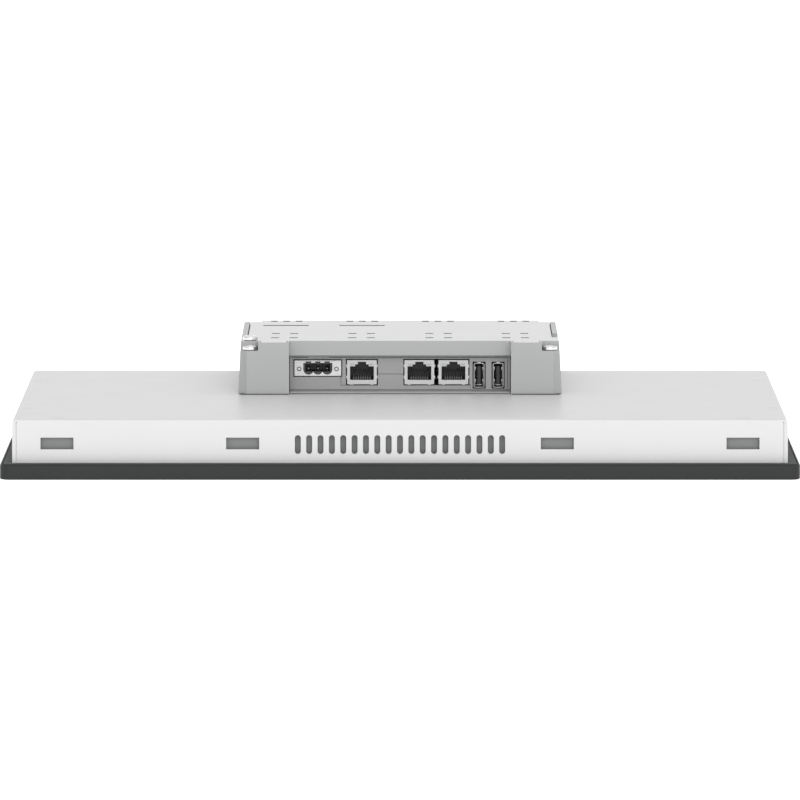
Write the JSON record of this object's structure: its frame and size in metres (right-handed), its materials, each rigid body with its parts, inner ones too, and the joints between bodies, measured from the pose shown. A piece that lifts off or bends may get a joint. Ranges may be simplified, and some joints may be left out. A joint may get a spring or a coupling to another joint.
{
  "type": "hmi touch panel",
  "caption": "Flush-mount operator touch panel: a wide glass front in a dark frame, a sheet-metal housing with clamp slots and vents, and a computer module with its connectors on the back.",
  "frame": {"origin": "centre of the front face, on the plane of the frame's front rim", "axes": "+Z runs out of the back into the cabinet, +X along the long side, -Y is the lower edge that the connectors face"},
  "size_m": [0.423, 0.267, 0.0624],
  "materials": {
    "bezel_coat": "dark grey powder coat on die-cast aluminium, satin",
    "front_glass": "black-backed touch glass, glossy",
    "adhesive": "black adhesive foam",
    "touch_film": "clear sensor film",
    "lcd_glass": "dark display glass",
    "zinc_sheet": "zinc-plated sheet steel",
    "backlight_tray": "backlight unit with its tray",
    "gasket_foam": "grey closed-cell foam",
    "white_coat": "light grey powder coat on sheet steel",
    "grey_coat": "mid grey powder coat on die-cast aluminium",
    "panel_coat": "mid grey coat on sheet steel",
    "light_coat": "light grey powder coat on sheet steel",
    "screw_steel": "bright plated steel",
    "tinplate": "tin-plated steel, bright",
    "usb_steel": "nickel-plated steel, satin",
    "black_plastic": "moulded black plastic",
    "pale_plastic": "moulded pale grey plastic",
    "board": "green solder mask",
    "chip": "black moulded package",
    "spreader": "machined aluminium",
    "ribbon": "flat film cable"
  },
  "bodies": {
    "root": {"front_bezel": "bezel_coat", "cover_glass": "front_glass", "glass_tape": "adhesive", "touch_sensor": "touch_film", "lcd_cell": "lcd_glass", "lcd_backlight": "backlight_tray", "panel_gasket": "gasket_foam", "rear_housing": "white_coat", "display_carrier": "zinc_sheet", "cover_screw_01": "screw_steel", "cover_screw_02": "screw_steel", "cover_screw_03": "screw_steel", "cover_screw_04": "screw_steel", "cover_screw_05": "screw_steel", "cover_screw_06": "screw_steel", "cover_screw_07": "screw_steel", "cover_screw_08": "screw_steel", "cover_screw_09": "screw_steel", "cover_screw_10": "screw_steel", "module_screw_1": "screw_steel", "module_screw_2": "screw_steel", "module_screw_3": "screw_steel", "module_screw_4": "screw_steel", "earth_screw": "screw_steel", "module_base_plate": "zinc_sheet", "module_housing": "grey_coat", "module_lid": "light_coat", "connector_panel": "panel_coat", "bay_frame": "panel_coat", "power_flange": "pale_plastic", "power_socket": "black_plastic", "power_pin_1": "tinplate", "power_pin_2": "tinplate", "power_pin_3": "tinplate", "power_lock_nut_1": "tinplate", "power_lock_nut_2": "tinplate", "rj45_shield_1": "tinplate", "rj45_insert_1": "black_plastic", "rj45_shield_2": "tinplate", "rj45_insert_2": "black_plastic", "rj45_shield_3": "tinplate", "rj45_insert_3": "black_plastic", "usb_shell_1": "usb_steel", "usb_tongue_1": "black_plastic", "usb_shell_2": "usb_steel", "usb_tongue_2": "black_plastic", "mainboard": "board", "processor": "chip", "heat_spreader": "spreader", "battery_holder": "black_plastic", "coin_cell": "tinplate", "interface_board": "board", "interface_socket": "pale_plastic", "mainboard_socket": "pale_plastic", "display_cable": "ribbon"}
  },
  "joints": []
}
